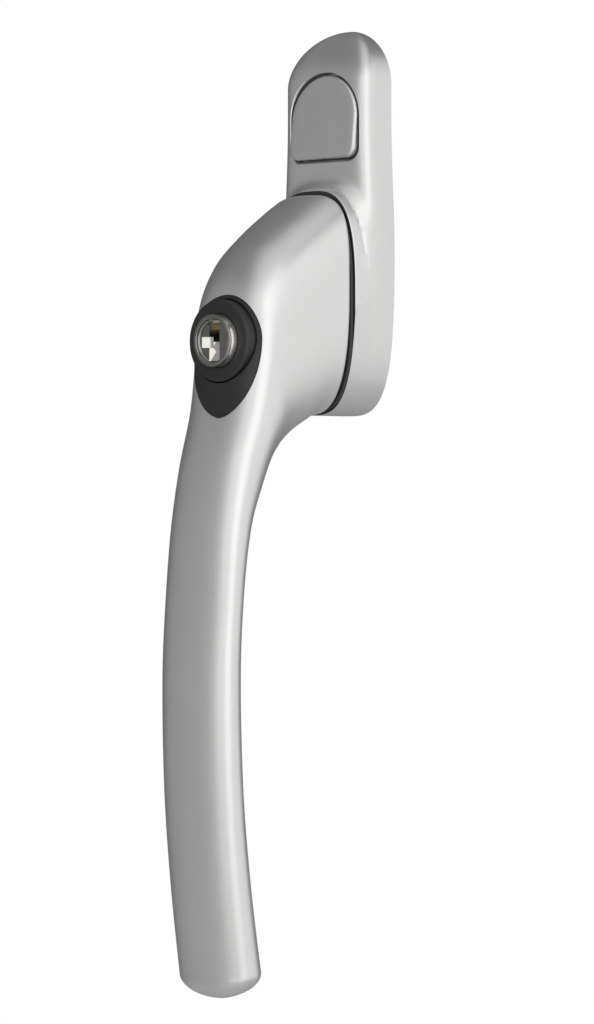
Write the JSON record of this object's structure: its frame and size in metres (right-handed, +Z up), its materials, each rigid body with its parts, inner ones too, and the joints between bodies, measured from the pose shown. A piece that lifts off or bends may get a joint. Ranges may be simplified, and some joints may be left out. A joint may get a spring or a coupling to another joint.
{
  "type": "locking casement window handle",
  "caption": "Casement window fastener: curved lever on a slim base plate, with a square spindle, a push-button key lock and a clip-in screw cover.",
  "frame": {"origin": "on the spindle axis, in the mounting plane that lies against the sash", "axes": "+Z up the base plate, -Y into the room, +Y into the window, +X to the right as seen from the room"},
  "size_m": [0.0228, 0.051, 0.1797],
  "materials": {
    "satin_casting": "satin silver plated die casting",
    "black_plastic": "semi-matt moulded",
    "white_nylon": "matt moulded",
    "nickel": "nickel plated",
    "zinc_steel": "zinc plated",
    "hard_steel": "plain hardened",
    "brass": "stamped"
  },
  "bodies": {
    "base": {"base_plate": "satin_casting", "rear_cover": "zinc_steel", "cover_screws": "zinc_steel", "hub_bush": "white_nylon", "strike_plate": "hard_steel", "strike_rivets": "zinc_steel", "detent_balls": "hard_steel", "detent_springs": "hard_steel", "fixing_screws": "zinc_steel"},
    "cover": {"screw_cover": "satin_casting"},
    "handle": {"handle_lever": "satin_casting", "wear_plate": "black_plastic", "index_ring": "hard_steel", "thrust_washer": "zinc_steel", "retaining_circlip": "hard_steel", "spindle": "zinc_steel", "spindle_pin": "hard_steel", "lock_housing": "zinc_steel", "housing_screw": "zinc_steel", "lock_escutcheon": "black_plastic"},
    "lock_button": {"push_button": "black_plastic", "button_base": "zinc_steel", "lock_bolt": "hard_steel", "button_spring": "hard_steel"},
    "key_plug": {"key_plug": "nickel", "plug_wafers": "brass", "wafer_springs": "hard_steel", "plug_cam": "zinc_steel", "plug_clip": "hard_steel"},
    "pawl": {"locking_pawl": "brass", "pawl_spring": "hard_steel"}
  },
  "joints": [
    {"name": "handle_turn", "type": "hinge", "parent": "base", "child": "handle", "pos_m": [0, 0, 0], "axis": [0, 1, 0], "range_deg": [-90, 90]},
    {"name": "cover_off", "type": "slide", "parent": "base", "child": "cover", "axis": [0, -1, 0], "range_m": [0, 0.012]},
    {"name": "button_press", "type": "slide", "parent": "handle", "child": "lock_button", "axis": [0, 1, 0], "range_m": [0, 0.0032], "stiffness_N_per_m": 600, "springref_m": -0.0015, "deforming": ["button_spring"]},
    {"name": "key_turn", "type": "hinge", "parent": "lock_button", "child": "key_plug", "pos_m": [0, -0.03, -0.0186], "axis": [0, 1, 0], "range_deg": [0, 90]},
    {"name": "pawl_slide", "type": "slide", "parent": "lock_button", "child": "pawl", "axis": [0, 0, 1], "range_m": [0, 0.0012], "deforming": ["pawl_spring"]}
  ],
  "couplings": [
    {"joint": "pawl_slide", "follows": "key_turn", "m_per_rad": 0.00076394}
  ]
}
